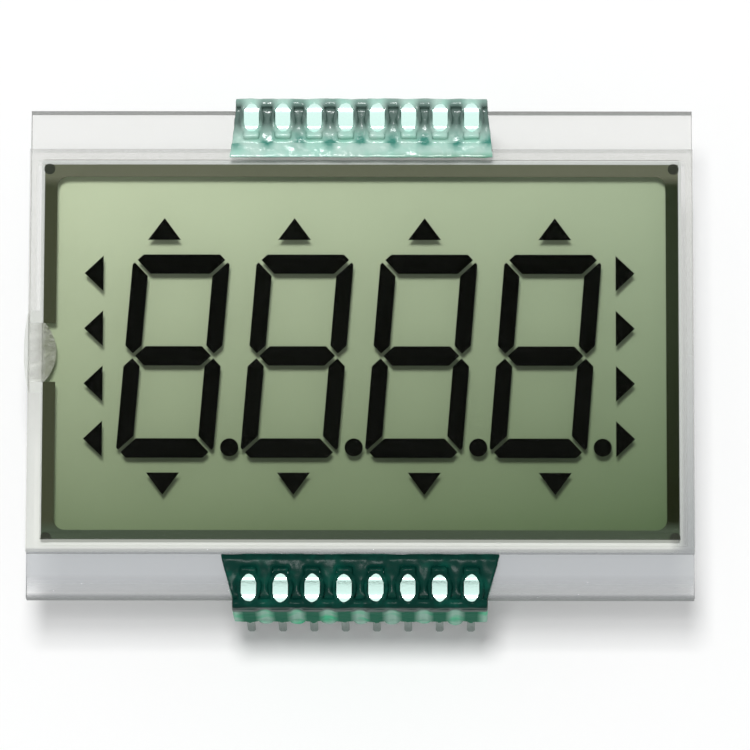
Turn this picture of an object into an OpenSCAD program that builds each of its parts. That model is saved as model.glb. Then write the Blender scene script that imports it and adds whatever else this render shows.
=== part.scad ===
// Reflective segment display: two glass plates with a sealed liquid crystal cell between them, four leaning
// digits with points, sixteen pointer arrows, and two rows of stamped pins that clip over the rear glass.
// X runs along the digits, Y up the display and Z towards the viewer. The origin is midway between the two
// pin rows, in the plane of the pin tips.

/* [Glass plates] */
// Width of both glass plates, along the digits
glass_w = 42; // [41.6:0.1:60]
// Height of the front glass, which is the shorter plate
front_glass_h = 25.9; // [25.4:0.1:40]
// Depth of each bare ledge of the rear glass that the pins clip over
ledge_d = 2.75; // [2.2:0.05:5]
// Thickness of each glass plate
glass_t = 1.1; // [0.7:0.05:1.5]
// Gap between the plates that the liquid crystal fills
cell_gap = 0.1; // [0.07:0.01:0.2]

/* [Films] */
// Thickness of each polarizer
polarizer_t = 0.2; // [0.1:0.01:0.3]
// Thickness of the reflector behind the rear polarizer
reflector_t = 0.1; // [0.05:0.01:0.2]
// Margin from the side edges of the glass to the polarizers
film_inset_x = 0.9; // [0.4:0.05:1.5]
// Margin from the upper and lower edges of the front glass to the polarizers
film_inset_y = 0.75; // [0.4:0.05:1.2]
// Thickness of the clear conducting films on the inner faces
electrode_t = 0.03; // [0.01:0.005:0.03]

/* [Cell seal] */
// Width of the printed seal line
seal_w = 1; // [0.7:0.05:1.2]
// Margin from the side edges of the glass to the seal
seal_inset_x = 0.7; // [0.4:0.05:0.9]
// Margin from the upper and lower edges of the front glass to the seal
seal_inset_y = 0.55; // [0.3:0.05:0.7]
// Radius of the seal's inner corners
seal_corner_r = 0.7; // [0.3:0.05:1]
// Width of the fill port through the seal
port_w = 3.8; // [2:0.1:6]
// Length of each lip of the seal beside the fill port, along the glass edge
port_lip_w = 0.8; // [0.4:0.1:1.5]
// Distance that each lip stops short of the glass edge
port_lip_back = 0.1; // [0.05:0.05:0.3]
// Length of the plug bead along the glass edge
plug_len = 4.9; // [4:0.1:8]
// Height of the plug bead across the edges of both plates
plug_h = 2; // [1:0.1:2.2]
// Distance that the plug bead stands out from the glass edge
plug_proud = 0.3; // [0.1:0.05:0.6]
// Distance from the glass edge to the front of the plug inside the port
plug_depth = 1.75; // [1.2:0.05:1.9]
// Distance that the plug's front bulges between the sides of the port
plug_bulge = 0.75; // [0.3:0.05:0.9]
// Diameter of the conducting dots that join the two plates
dot_d = 0.7; // [0.4:0.05:0.7]

/* [Digits] */
// Clear space between neighbouring digits
digit_space = 1.7; // [1.65:0.01:2.4]
// Height of a digit
digit_h = 13.12; // [11:0.02:14]
// Lean of the digits to the right, in degrees
digit_lean = 4.5; // [0:0.5:7]
// Width of the upright segments
upright_w = 1.03; // [0.7:0.01:1.3]
// Height of the level segments
level_h = 1.25; // [0.8:0.01:1.5]
// Gap between neighbouring segments
segment_gap = 0.22; // [0.12:0.01:0.3]
// Length cut from the outer corners of a digit
corner_cut = 0.65; // [0.4:0.01:0.8]
// Diameter of the points
point_d = 1.15; // [0.8:0.01:1.2]
// Gap from a digit's leaning foot to its point
point_gap = 0.46; // [0.3:0.01:0.5]
// Height of a point above the foot of its digit
point_rise = 0.1; // [0:0.01:0.3]
// Clear margin between the seal and the arrows beside the digits
pattern_margin = 1.88; // [1.4:0.01:3]
// Shift of the whole pattern along the digits
pattern_shift_x = -0.1; // [-0.3:0.05:0.2]
// Shift of the whole pattern up the display
pattern_shift_y = -0.2; // [-0.3:0.05:0.3]

/* [Arrows] */
// Extra distance between the arrows above and below, beyond that between the digits
arrow_spread = 0.4; // [-0.2:0.05:0.5]
// Gap from the digits to the arrows above and below them
arrow_gap = 0.95; // [0.4:0.05:1.2]
// Width of the base of the arrows above and below
arrow_base = 2.08; // [1.2:0.02:2.4]
// Height of the arrows above and below
arrow_h = 1.42; // [1:0.02:1.6]
// Margin from the head and the foot of the digits to the end arrows beside them
side_arrow_margin = 0.07; // [0:0.01:0.6]
// Gap from the digits' own width to the arrows beside them
side_arrow_gap = 1.37; // [1.3:0.01:1.6]
// Width of the base of the side arrows
side_arrow_base = 2.3; // [1.4:0.02:2.6]
// Depth of the side arrows
side_arrow_h = 1.2; // [0.8:0.02:1.3]

/* [Common films] */
// Gap between neighbouring common films
common_gap = 0.06; // [0.03:0.01:0.06]
// Margin of a common film beside its digit
common_margin = 0.03; // [0.01:0.01:0.04]
// Margin of the common films above and below the arrows
common_overlap = 0.4; // [0.2:0.05:0.5]
// Width of the conducting lanes that run round the common films
lane_w = 0.8; // [0.4:0.05:0.9]

/* [Pins] */
// Distance between neighbouring pins of a row
pin_pitch = 2; // [1.9:0.01:2.54]
// Height of the rear glass above the pin tips
leg_len = 8; // [7:0.1:14]
// Width of a leg
leg_w = 0.5; // [0.3:0.02:0.7]
// Thickness of the strip that the pins are stamped from
strip_t = 0.25; // [0.15:0.01:0.28]
// Distance from the glass edge to the middle of the leg strip
leg_standoff = 0.5; // [0.45:0.01:0.8]
// Length of the tapered tip of a leg
tip_len = 0.6; // [0.3:0.05:1.2]
// Width of the end of the tapered tip
tip_w = 0.28; // [0.2:0.01:0.3]
// Width of the contact tongue over the front of the ledge
tongue_w = 0.95; // [0.6:0.01:1]
// Width of the slits between the tongue and the claws
slit_w = 0.1; // [0.06:0.01:0.12]
// Width of each claw behind the glass
claw_w = 0.2; // [0.15:0.01:0.22]
// Length of the unslit head above the shoulders
head_len = 0.45; // [0.3:0.05:1]
// Length of the slits below the bend of the claws
slit_root = 0.4; // [0.2:0.05:0.8]
// Rise of the tongue's crown above the ledge
crown_rise = 0.75; // [0.7:0.01:0.95]
// Bend radius of the crown, to the middle of the strip
crown_r = 0.5; // [0.4:0.01:0.52]
// Distance from the glass edge to the contact line of the tongue
contact_inset = 1.15; // [1:0.01:1.4]
// Bend radius of the contact, to the middle of the strip
contact_r = 0.45; // [0.3:0.01:0.5]
// Upward angle of the tongue's toe, in degrees
toe_angle = 35; // [20:1:45]
// Length of the straight part of the toe
toe_len = 0.3; // [0.1:0.01:0.35]
// Distance from the glass edge to the contact line of the claws
claw_inset = 0.75; // [0.6:0.01:1]
// Bend radius of the claws, to the middle of the strip
claw_r = 0.4; // [0.3:0.01:0.45]
// Upward slope of the claws towards the glass, in degrees
claw_slope = 15; // [10:1:20]
// Width of the clear contact pads on the ledges
pad_w = 1.3; // [1:0.05:1.6]
// Margin from the glass edge to the outer end of the pads
pad_edge = 0.2; // [0.1:0.05:0.5]
// Margin from the front glass to the inner end of the pads
pad_back = 0.15; // [0.05:0.05:0.4]

/* [Glue] */
// Height of the glue on the ledges
glue_rise = 0.25; // [0.15:0.01:0.26]
// Thickness of the glue outside the legs
glue_wall = 0.16; // [0.08:0.01:0.3]
// Depth of the glue webs below the rear glass
web_drop = 3.5; // [1.8:0.1:4.5]
// Depth of the hollows in the glue between the legs
web_hollow = 0.14; // [0.05:0.01:0.2]
// Depth of the glue behind the rear glass
back_glue_t = 0.5; // [0.3:0.05:0.7]
// Reach of the glue behind the rear glass
back_glue_reach = 1.35; // [1.2:0.05:2]
// Margin of the glue beyond the end pins
glue_end = 0.25; // [0.15:0.05:0.6]
// Extra width of the lower glue at the front glass, on each side
lower_spread = 0.95; // [0.2:0.05:1.5]
// Extra width of the upper glue at the front glass, on each side
upper_spread = 0.35; // [0.2:0.05:1.5]
// Reach of the upper glue over the front glass
flood_reach = 0.6; // [0.3:0.05:0.65]
// Thickness of the upper glue over the front glass
flood_t = 0.12; // [0.05:0.01:0.18]
// Radius of the glue's meniscus against the front glass
meniscus_r = 0.4; // [0.2:0.05:0.7]

/* [Hidden] */
$fn = 48;
// Steps of the wide, shallow arcs of the plug
fine = 720;
digit_count = 4;
side_arrow_count = 4;
pins_per_row = 8;
seam = 0.01;

function numbered(stem, count) = [for (k = [1:count]) str(stem, k)];
function pin_name(k) = str("pin_", k < 10 ? "0" : "", k);

// Heights of the stack
rear_bottom_z = leg_len;
ledge_z = rear_bottom_z + glass_t;
front_bottom_z = ledge_z + cell_gap;
front_top_z = front_bottom_z + glass_t;
common_z = front_bottom_z - electrode_t;

// Outlines of the plates and films
rear_glass_h = front_glass_h + 2 * ledge_d;
film_w = glass_w - 2 * film_inset_x;
film_h = front_glass_h - 2 * film_inset_y;
seal_outer = [glass_w - 2 * seal_inset_x, front_glass_h - 2 * seal_inset_y];
seal_inner = [seal_outer.x - 2 * seal_w, seal_outer.y - 2 * seal_w];
dot_place = [(seal_outer.x - seal_w) / 2, (seal_outer.y - seal_w) / 2];
port_half_w = port_w / 2;

// Digit pattern: the arrows beside the digits keep their margin from the seal, and the digits fill the rest
pattern_shift = [pattern_shift_x, pattern_shift_y];
side_arrow_base_x = seal_inner.x / 2 - pattern_margin - side_arrow_h;
digits_half_w = side_arrow_base_x - side_arrow_gap;
digit_w = (2 * digits_half_w - (digit_count - 1) * digit_space) / digit_count;
digit_pitch = digit_w + digit_space;
arrow_pitch = digit_pitch + arrow_spread;
side_arrow_pitch = (digit_h - side_arrow_base - 2 * side_arrow_margin) / (side_arrow_count - 1);
half_w = digit_w / 2;
half_h = digit_h / 2;
gap_step = segment_gap / sqrt(2);
foot_x = half_w - half_h * tan(digit_lean);
point_place = [foot_x + point_gap + point_d / 2, point_rise + point_d / 2 - half_h];
arrow_base_y = half_h + arrow_gap;

// Common films: the lanes reach from the side arrows to the corners of the cell
common_half_h = arrow_base_y + arrow_h + common_overlap;
lane_in_x = side_arrow_base_x - common_gap;
lane_out_x = side_arrow_base_x + side_arrow_h + common_gap;

// Pins: a strip profile in the plane across the glass edge, where the first axis points out of the glass
head_w = tongue_w + 2 * (slit_w + claw_w);
crown_top_z = ledge_z + crown_rise;
crown_centre = [leg_standoff - crown_r, crown_top_z - strip_t / 2 - crown_r];
contact_centre = [-contact_inset, ledge_z + electrode_t + strip_t / 2 + contact_r];
claw_end_centre = [-claw_inset, rear_bottom_z - strip_t / 2 - claw_r];
claw_run = (leg_standoff - claw_r + claw_inset) / cos(claw_slope);
claw_centre = [leg_standoff - claw_r, claw_end_centre.y - claw_run * sin(claw_slope)];
slit_bottom_z = claw_centre.y - slit_root;
shoulder_top_z = slit_bottom_z - head_len;
shoulder_bottom_z = shoulder_top_z - (head_w - leg_w) / 2;
row_half_w = (pins_per_row - 1) / 2 * pin_pitch;

// Glue
glue_top_z = ledge_z + glue_rise;
glue_out = leg_standoff + strip_t / 2 + glue_wall;
web_in = leg_standoff - strip_t / 2 - glue_wall;
web_bottom_z = rear_bottom_z - web_drop;
glue_half_w = row_half_w + head_w / 2 + glue_end;

// Flat outlines

module rounded_rect(size, r) {
    square([size.x - 2 * r, size.y], center = true);
    square([size.x, size.y - 2 * r], center = true);
    for (x = [-1, 1], y = [-1, 1])
        translate([x * (size.x / 2 - r), y * (size.y / 2 - r)]) circle(r = r);
}

module span(low, high) {
    translate(low) square(high - low);
}

module sheet(bottom, thickness) {
    translate([0, 0, bottom]) linear_extrude(thickness) children();
}

// Segment outlines

function lean(p) = [p.x + p.y * tan(digit_lean), p.y];
// The point where a falling and a rising 45 degree line cross, given the sum and difference of x and y
function crossing(sum, difference) = [(sum - difference) / 2, (sum + difference) / 2];
function flip_x(points) = [for (p = points) [-p.x, p.y]];
function flip_y(points) = [for (p = points) [p.x, -p.y]];

// Upper left mitre of a digit, from the inner corner out to the line of the corner cut
mitre_sum = upright_w - half_w + half_h - level_h;
cut_difference = half_h + half_w - corner_cut;
upper_left_mitre = crossing(mitre_sum + gap_step, cut_difference);

top_segment = [
    [upright_w - half_w + gap_step, half_h - level_h],
    upper_left_mitre,
    [corner_cut - half_w, half_h],
    [half_w - corner_cut, half_h],
    [-upper_left_mitre.x, upper_left_mitre.y],
    [half_w - upright_w - gap_step, half_h - level_h]
];
upper_left_segment = [
    [upright_w - half_w, half_h - level_h - gap_step],
    crossing(mitre_sum - gap_step, cut_difference),
    [-half_w, half_h - corner_cut],
    [-half_w, gap_step + upright_w / 2],
    [upright_w / 2 - half_w, gap_step],
    [upright_w - half_w, gap_step + upright_w / 2]
];
middle_tip_x = half_w - upright_w / 2 - gap_step;
middle_segment = [
    [-middle_tip_x, 0],
    [level_h / 2 - middle_tip_x, level_h / 2],
    [middle_tip_x - level_h / 2, level_h / 2],
    [middle_tip_x, 0],
    [middle_tip_x - level_h / 2, -level_h / 2],
    [level_h / 2 - middle_tip_x, -level_h / 2]
];
segments = [
    top_segment,
    flip_y(top_segment),
    middle_segment,
    upper_left_segment,
    flip_x(upper_left_segment),
    flip_y(upper_left_segment),
    flip_x(flip_y(upper_left_segment))
];

function digit_x(k) = (k - (digit_count + 1) / 2) * digit_pitch;

module digit_outline(k) {
    translate(pattern_shift + [digit_x(k), 0]) {
        for (outline = segments) polygon([for (p = outline) lean(p)]);
        translate(point_place) circle(d = point_d);
    }
}

module arrow_row(side) {
    for (k = [1:digit_count])
        translate(pattern_shift + [(k - (digit_count + 1) / 2) * arrow_pitch, side * arrow_base_y])
            polygon([[-arrow_base / 2, 0], [0, side * arrow_h], [arrow_base / 2, 0]]);
}

module side_arrows(side) {
    for (k = [1:side_arrow_count])
        translate(pattern_shift + [side * side_arrow_base_x, (k - (side_arrow_count + 1) / 2) * side_arrow_pitch])
            polygon([[0, -side_arrow_base / 2], [side * side_arrow_h, 0], [0, side_arrow_base / 2]]);
}

module all_segments() {
    for (k = [1:digit_count]) digit_outline(k);
    for (side = [-1, 1]) {
        arrow_row(side);
        side_arrows(side);
    }
}

// Each common film backs one digit with its two arrows, and a pair of the side arrows. The films of the outer
// digits take the upper pairs. Those of the inner digits reach the lower pairs by a lane below the pattern.
lane_top_y = -common_half_h - common_gap;
lane_bottom_y = lane_top_y - lane_w;

module common_column(k, bottom) {
    left = digit_x(k) - half_w - common_margin;
    right = left + digit_pitch - common_gap;
    intersection() {
        polygon([
            lean([left, bottom]),
            lean([right, bottom]),
            lean([right, common_half_h]),
            lean([left, common_half_h])
        ]);
        span([-lane_in_x + common_gap, bottom], [lane_in_x - common_gap, common_half_h]);
    }
}

// A tab from the end of a lane to the dot in its corner, drawn for the upper right one and mirrored to the others
module corner_tab(side, level, start_y) {
    place = dot_place - [side * pattern_shift.x, level * pattern_shift.y];
    lane_edge_x = lane_out_x - lane_w;
    mirror([side < 0 ? 1 : 0, 0]) mirror([0, level < 0 ? 1 : 0]) {
        span([lane_edge_x, start_y], [lane_out_x, place.y + dot_d / 2]);
        span([lane_edge_x, place.y - dot_d / 2], place + [dot_d / 2, dot_d / 2]);
    }
}

module common_outline(k) {
    side = k <= digit_count / 2 ? -1 : 1;
    outer = k == 1 || k == digit_count;
    side_low = side < 0 ? -lane_out_x : lane_in_x;
    side_high = side < 0 ? -lane_in_x : lane_out_x;
    translate(pattern_shift)
        if (outer) {
            common_column(k, -common_half_h);
            span([min(side_low, side * digits_half_w), common_gap / 2],
                [max(side_high, side * digits_half_w), common_half_h]);
            corner_tab(side, 1, common_half_h - lane_w);
        } else {
            common_column(k, lane_bottom_y);
            span([side_low, lane_bottom_y], [side_high, -common_gap / 2]);
            span([min(side_low, digit_x(k)), lane_bottom_y], [max(side_high, digit_x(k)), lane_top_y]);
            corner_tab(side, -1, -lane_bottom_y - lane_w);
        }
}

// Cell outlines

module plug_tongue_outline() {
    front_r = (port_half_w * port_half_w + plug_bulge * plug_bulge) / (2 * plug_bulge);
    intersection() {
        translate([plug_depth - glass_w / 2 - front_r, 0]) circle(r = front_r, $fn = fine);
        span([-glass_w / 2, -port_half_w], [plug_depth - glass_w / 2 + seam, port_half_w]);
    }
}

module seal_outline() {
    difference() {
        square(seal_outer, center = true);
        rounded_rect(seal_inner, seal_corner_r);
        span([-seal_outer.x / 2 - seam, -port_half_w], [-seal_inner.x / 2 + seam, port_half_w]);
    }
    for (side = [-1, 1])
        translate([-glass_w / 2 + port_lip_back, side * (port_half_w + port_lip_w / 2) - port_lip_w / 2])
            square([seal_inset_x - port_lip_back, port_lip_w]);
}

module fill_outline() {
    difference() {
        union() {
            rounded_rect(seal_inner, seal_corner_r);
            span([-seal_outer.x / 2, -port_half_w], [-seal_inner.x / 2 + seam, port_half_w]);
        }
        plug_tongue_outline();
    }
}

// Glass stack

module plate(width, height, bottom, thickness) {
    translate([-width / 2, -height / 2, bottom]) cube([width, height, thickness]);
}

module reflector() {
    color("silver") plate(film_w, film_h, rear_bottom_z - polarizer_t - reflector_t, reflector_t);
}

module rear_polarizer() {
    color("darkseagreen") plate(film_w, film_h, rear_bottom_z - polarizer_t, polarizer_t);
}

module rear_glass() {
    color("lightcyan") plate(glass_w, rear_glass_h, rear_bottom_z, glass_t);
}

module front_glass() {
    color("azure") plate(glass_w, front_glass_h, front_bottom_z, glass_t);
}

module front_polarizer() {
    color("darkkhaki") plate(film_w, film_h, front_top_z, polarizer_t);
}

module perimeter_seal() {
    color("dimgray")
        difference() {
            sheet(ledge_z, cell_gap) seal_outline();
            all_common_films();
            all_transfer_dots();
        }
}

module end_seal() {
    along_r = (plug_len * plug_len / 4 + plug_proud * plug_proud) / (2 * plug_proud);
    across_r = (plug_h * plug_h / 4 + plug_proud * plug_proud) / (2 * plug_proud);
    crest_x = -glass_w / 2 - plug_proud;
    middle_z = ledge_z + cell_gap / 2;
    color("darkgray") {
        intersection() {
            translate([crest_x - seam, -plug_len / 2, middle_z - plug_h / 2])
                cube([plug_proud + seam, plug_len, plug_h]);
            translate([crest_x + along_r, 0, middle_z - plug_h])
                cylinder(r = along_r, h = 2 * plug_h, $fn = fine);
            translate([crest_x + across_r, plug_len, middle_z]) rotate([90, 0, 0])
                cylinder(r = across_r, h = 2 * plug_len, $fn = fine);
        }
        sheet(ledge_z, cell_gap) plug_tongue_outline();
    }
}

module liquid_crystal() {
    color("yellowgreen")
        difference() {
            sheet(ledge_z, cell_gap) fill_outline();
            sheet(ledge_z - seam, electrode_t + seam) all_segments();
            all_common_films();
        }
}

// Electrodes

module digit(k) {
    color("black") sheet(ledge_z, electrode_t) digit_outline(k);
}

module arrows_top() {
    color("black") sheet(ledge_z, electrode_t) arrow_row(1);
}

module arrows_bottom() {
    color("black") sheet(ledge_z, electrode_t) arrow_row(-1);
}

module arrows_left() {
    color("black") sheet(ledge_z, electrode_t) side_arrows(-1);
}

module arrows_right() {
    color("black") sheet(ledge_z, electrode_t) side_arrows(1);
}

module common_film(k) {
    color("honeydew") sheet(common_z, electrode_t) common_outline(k);
}

module all_common_films() {
    for (k = [1:digit_count]) common_film(k);
}

module transfer_dot(k) {
    side = k <= digit_count / 2 ? -1 : 1;
    level = k == 1 || k == digit_count ? 1 : -1;
    color("gainsboro")
        translate([side * dot_place.x, level * dot_place.y, ledge_z])
            cylinder(d = dot_d, h = cell_gap - electrode_t);
}

module all_transfer_dots() {
    for (k = [1:digit_count]) transfer_dot(k);
}

module contact_pads() {
    inner = ledge_d - pad_back;
    for (k = [1:pins_per_row])
        translate([pin_x(k) - pad_w / 2, -inner, ledge_z]) cube([pad_w, inner - pad_edge, electrode_t]);
}

// Pins and glue stand at a glass edge: their own Y points out of the glass, and the edge lies at zero

function pin_x(k) = (k - (pins_per_row + 1) / 2) * pin_pitch;

module at_lower_edge() {
    translate([0, -rear_glass_h / 2, 0]) rotate([0, 0, 180]) children();
}

module at_upper_edge() {
    translate([0, rear_glass_h / 2, 0]) children();
}

// Extrudes a profile drawn across the edge to a width along it
module along_edge(width) {
    translate([-width / 2, 0, 0]) rotate([90, 0, 90]) linear_extrude(width) children();
}

// A straight run of the strip, which laps the next bend by a seam so that the pin is one piece
module strip_line(start, end) {
    run = end - start;
    translate(start) rotate(atan2(run.y, run.x)) translate([0, -strip_t / 2]) square([norm(run) + seam, strip_t]);
}

module strip_arc(centre, r, from, to) {
    reach = 2 * (r + strip_t);
    translate(centre)
        intersection() {
            difference() {
                circle(r = r + strip_t / 2);
                circle(r = r - strip_t / 2);
            }
            polygon([[0, 0], for (step = [0:3]) reach * heading(from + (to - from) * step / 3)]);
        }
}

function heading(angle) = [cos(angle), sin(angle)];

// Angle of the normal where the strip leaves the crown for the contact bend, as a tangent to both circles
crown_to_contact = contact_centre - crown_centre;
slope_normal = atan2(crown_to_contact.y, crown_to_contact.x)
    - acos((crown_r + contact_r) / norm(crown_to_contact));
toe_normal = 270 - toe_angle;
claw_normal = 90 - claw_slope;
claw_end_normal = 90 + 2 * claw_slope;

module tongue_profile() {
    toe_start = contact_centre + contact_r * heading(toe_normal);
    strip_line([leg_standoff, shoulder_top_z], [leg_standoff, crown_centre.y]);
    strip_arc(crown_centre, crown_r, 0, slope_normal);
    strip_line(crown_centre + crown_r * heading(slope_normal),
        contact_centre - contact_r * heading(slope_normal));
    strip_arc(contact_centre, contact_r, toe_normal, slope_normal + 180);
    strip_line(toe_start, toe_start + toe_len * heading(180 - toe_angle));
}

module claw_profile() {
    strip_line([leg_standoff, shoulder_top_z], [leg_standoff, claw_centre.y]);
    strip_arc(claw_centre, claw_r, 0, claw_normal);
    strip_line(claw_centre + claw_r * heading(claw_normal), claw_end_centre + claw_r * heading(claw_normal));
    strip_arc(claw_end_centre, claw_r, claw_normal, claw_end_normal);
}

module leg_outline() {
    polygon([
        [-tip_w / 2, 0],
        [-leg_w / 2, tip_len],
        [-leg_w / 2, shoulder_bottom_z],
        [-head_w / 2, shoulder_top_z],
        [-head_w / 2, slit_bottom_z],
        [head_w / 2, slit_bottom_z],
        [head_w / 2, shoulder_top_z],
        [leg_w / 2, shoulder_bottom_z],
        [leg_w / 2, tip_len],
        [tip_w / 2, 0]
    ]);
}

module edge_pin(x) {
    translate([x, 0, 0]) {
        translate([0, leg_standoff + strip_t / 2, 0]) rotate([90, 0, 0]) linear_extrude(strip_t) leg_outline();
        along_edge(tongue_w) tongue_profile();
        for (side = [-1, 1])
            translate([side * (head_w - claw_w) / 2, 0, 0]) along_edge(claw_w) claw_profile();
    }
}

// Pins 1 to 8 run along the lower edge from left to right, and the rest back along the upper edge
module pin(k) {
    color("gainsboro")
        if (k <= pins_per_row)
            at_lower_edge() edge_pin(-pin_x(k));
        else
            at_upper_edge() edge_pin(-pin_x(k - pins_per_row));
}

module glue_profile(front_reach) {
    difference() {
        union() {
            span([-ledge_d, ledge_z], [glue_out - glue_rise, glue_top_z]);
            span([0, rear_bottom_z], [glue_out, ledge_z]);
            translate([glue_out - glue_rise, ledge_z]) circle(r = glue_rise);
            span([web_in, web_bottom_z], [glue_out, rear_bottom_z + seam]);
            span([-back_glue_reach + back_glue_t, rear_bottom_z - back_glue_t], [glue_out, rear_bottom_z]);
            translate([-back_glue_reach + back_glue_t, rear_bottom_z]) circle(r = back_glue_t);
            if (front_reach > 0) {
                span([-ledge_d - front_reach, front_top_z], [-ledge_d + meniscus_r, front_top_z + flood_t]);
                span([-ledge_d, ledge_z], [-ledge_d + meniscus_r, front_top_z + flood_t]);
            } else {
                span([-ledge_d, ledge_z], [-ledge_d + meniscus_r, glue_top_z + meniscus_r]);
            }
        }
        span([-rear_glass_h, rear_bottom_z], [0, ledge_z]);
        if (front_reach <= 0)
            translate([-ledge_d + meniscus_r, glue_top_z + meniscus_r]) circle(r = meniscus_r);
    }
}

// Outline of the glue from above, wider at the front glass than at the edge
module glue_plan(spread) {
    inner_y = -ledge_d - flood_reach;
    polygon([
        [-glue_half_w - spread, inner_y],
        [-glue_half_w, 0],
        [-glue_half_w, glue_out],
        [glue_half_w, glue_out],
        [glue_half_w, 0],
        [glue_half_w + spread, inner_y]
    ]);
}

// The glue follows the row of pins between the legs in vertical hollows and hangs in arches below
module glue_hollows() {
    hollow_r = (pin_pitch - leg_w) / 2;
    for (k = [1:pins_per_row - 1]) {
        x = pin_x(k) + pin_pitch / 2;
        translate([x, glue_out + hollow_r - web_hollow, web_bottom_z - seam])
            cylinder(r = hollow_r, h = glue_top_z - web_bottom_z + 2 * seam);
        translate([x, -seam, web_bottom_z - hollow_r / 2]) rotate([-90, 0, 0])
            cylinder(r = hollow_r, h = glue_out + 2 * seam);
    }
}

// Pockets where a bend touches the glass or its pad
module contact_pockets() {
    claw_x = (head_w - claw_w) / 2;
    for (k = [1:pins_per_row]) {
        translate([pin_x(k) - tongue_w / 2, -contact_inset - strip_t, ledge_z])
            cube([tongue_w, 2 * strip_t, strip_t]);
        for (side = [-1, 1])
            translate([pin_x(k) + side * claw_x - claw_w / 2, -claw_inset - strip_t, rear_bottom_z - strip_t])
                cube([claw_w, 2 * strip_t, strip_t]);
    }
}

module glue_coat(spread, front_reach) {
    full_w = 2 * (glue_half_w + spread);
    difference() {
        intersection() {
            along_edge(full_w) glue_profile(front_reach);
            sheet(0, front_top_z + 2 * flood_t) glue_plan(spread);
        }
        glue_hollows();
        contact_pockets();
        contact_pads();
        for (k = [1:pins_per_row]) edge_pin(pin_x(k));
    }
}

module contact_pads_lower() {
    color("lightyellow") at_lower_edge() contact_pads();
}

module contact_pads_upper() {
    color("lightyellow") at_upper_edge() contact_pads();
}

module pin_glue_lower() {
    color("seagreen") at_lower_edge() glue_coat(lower_spread, 0);
}

module pin_glue_upper() {
    color("mediumseagreen") at_upper_edge() glue_coat(upper_spread, flood_reach);
}

reflector();
rear_polarizer();
rear_glass();
perimeter_seal();
end_seal();
liquid_crystal();
for (k = [1:digit_count]) digit(k);
arrows_top();
arrows_bottom();
arrows_left();
arrows_right();
for (k = [1:digit_count]) common_film(k);
for (k = [1:digit_count]) transfer_dot(k);
front_glass();
front_polarizer();
contact_pads_lower();
contact_pads_upper();
for (k = [1:2 * pins_per_row]) pin(k);
pin_glue_lower();
pin_glue_upper();
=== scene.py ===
"""Looks of a segment display: glass cell, dark segments, tinned clip-on pins and green glue."""

import logging
import math
from collections.abc import Iterable, Mapping, Sequence
from dataclasses import dataclass
from enum import Enum

import bmesh
import bpy
from mathutils import Matrix, Vector, noise


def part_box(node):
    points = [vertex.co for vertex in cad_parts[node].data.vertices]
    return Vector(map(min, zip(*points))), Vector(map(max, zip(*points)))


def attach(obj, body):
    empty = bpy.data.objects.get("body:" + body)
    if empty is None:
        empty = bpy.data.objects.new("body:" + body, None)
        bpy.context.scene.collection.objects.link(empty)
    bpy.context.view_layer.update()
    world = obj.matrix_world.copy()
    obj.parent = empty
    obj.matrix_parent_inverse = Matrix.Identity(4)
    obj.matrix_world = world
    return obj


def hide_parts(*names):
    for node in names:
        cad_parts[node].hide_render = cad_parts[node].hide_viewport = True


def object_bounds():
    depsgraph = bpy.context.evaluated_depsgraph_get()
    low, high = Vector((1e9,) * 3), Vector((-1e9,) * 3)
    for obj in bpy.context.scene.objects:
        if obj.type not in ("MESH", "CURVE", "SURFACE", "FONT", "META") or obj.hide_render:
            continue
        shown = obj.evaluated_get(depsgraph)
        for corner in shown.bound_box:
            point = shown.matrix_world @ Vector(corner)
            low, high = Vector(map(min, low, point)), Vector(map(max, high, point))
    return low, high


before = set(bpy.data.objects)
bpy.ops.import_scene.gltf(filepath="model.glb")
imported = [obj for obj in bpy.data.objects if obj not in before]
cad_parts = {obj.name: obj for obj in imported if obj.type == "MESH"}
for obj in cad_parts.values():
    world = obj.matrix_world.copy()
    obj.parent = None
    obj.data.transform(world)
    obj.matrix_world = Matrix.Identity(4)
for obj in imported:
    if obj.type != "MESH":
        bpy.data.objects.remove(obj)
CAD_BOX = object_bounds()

LOG = logging.getLogger("segment_display")
MM = 0.001
BODY = "root"

UPRIGHT = 0.3
LEVEL = 0.8

Colour = tuple[float, float, float]
Triple = tuple[float, float, float]
Link = "Value | bpy.types.NodeSocket | float | Colour"

WHITE: Colour = (1.0, 1.0, 1.0)


def srgb(red: int, green: int, blue: int) -> Colour:
    """Turn a colour as a screen shows it, from 0 to 255, into linear light.

    Args:
        red: Share of red.
        green: Share of green.
        blue: Share of blue.

    Returns:
        The linear colour.
    """

    def linear(level: int) -> float:
        """Linear light of one channel."""
        share = level / 255
        return share / 12.92 if share <= 0.04045 else ((share + 0.055) / 1.055) ** 2.4

    return linear(red), linear(green), linear(blue)


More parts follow.
